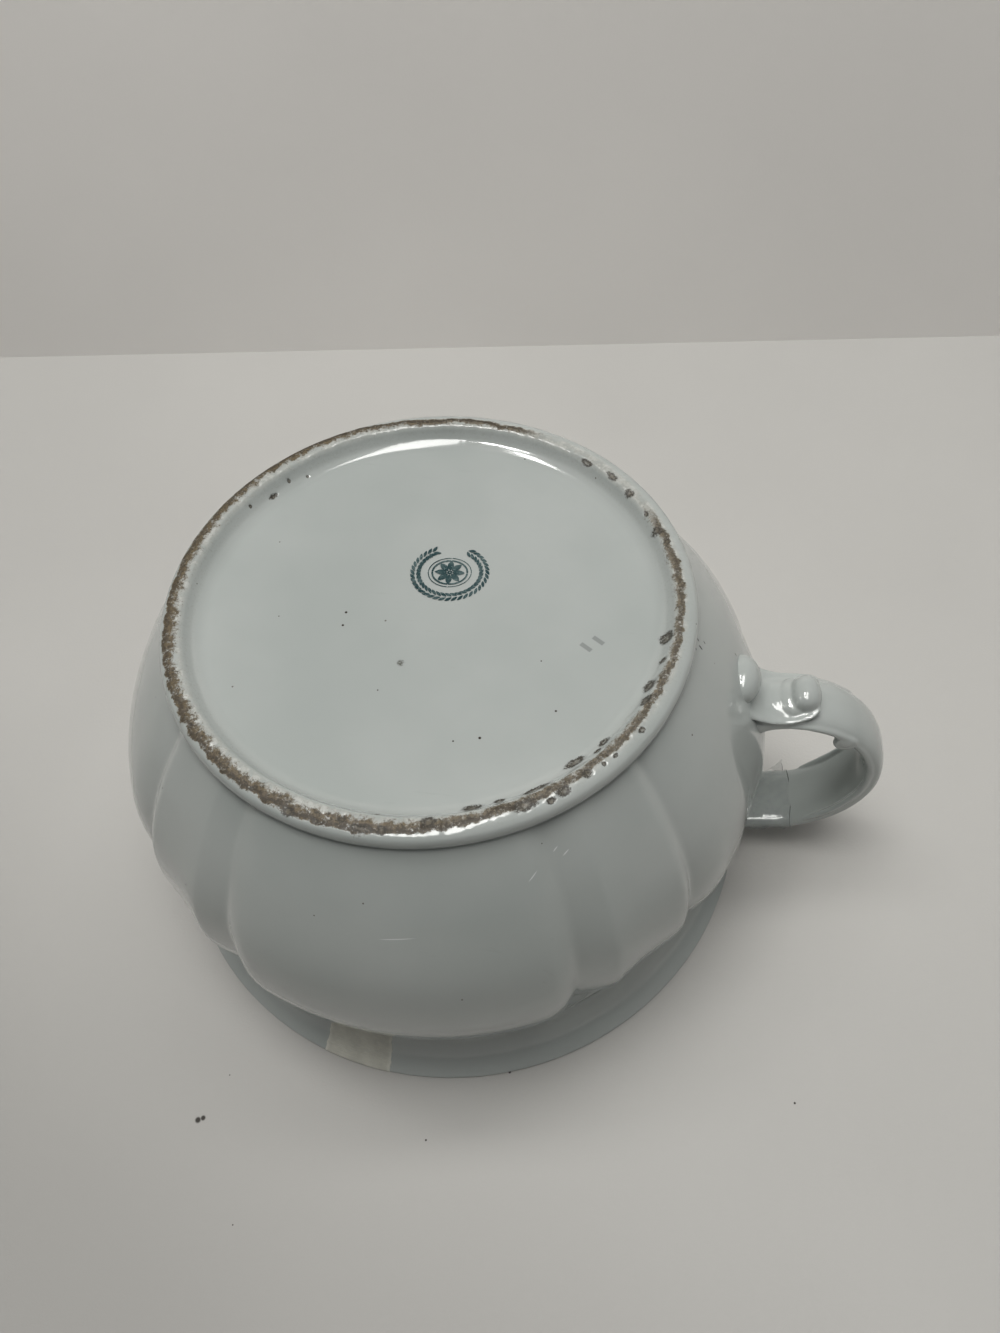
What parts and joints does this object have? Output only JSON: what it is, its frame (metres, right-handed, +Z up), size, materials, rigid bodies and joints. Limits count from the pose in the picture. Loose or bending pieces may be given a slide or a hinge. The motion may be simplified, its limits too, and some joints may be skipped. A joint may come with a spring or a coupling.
{
  "type": "lobed china pot with one handle",
  "caption": "White glazed china pot with a lobed belly, flared rim, foot ring and one scrolled strap handle, shown resting upside down on its rim, with tape left on it.",
  "frame": {"origin": "centre of the footprint, handle included, on the plane that the rim rests on", "axes": "+Z up from the rim to the foot ring, +X towards the handle, +Y by the right-hand rule"},
  "size_m": [0.2614, 0.219, 0.132],
  "materials": {
    "wall_glaze": "glossy blue-grey white glaze",
    "base_glaze": "glossy white glaze, worn and stained brown on the foot's crest",
    "handle_glaze": "glossy blue-grey white glaze",
    "paper_tape": "matt crinkled paper tape",
    "clear_film": "clear adhesive film"
  },
  "bodies": {
    "root": {"body": "wall_glaze", "base": "base_glaze", "handle": "handle_glaze", "rim_tape": "paper_tape", "handle_film": "clear_film"}
  },
  "joints": []
}
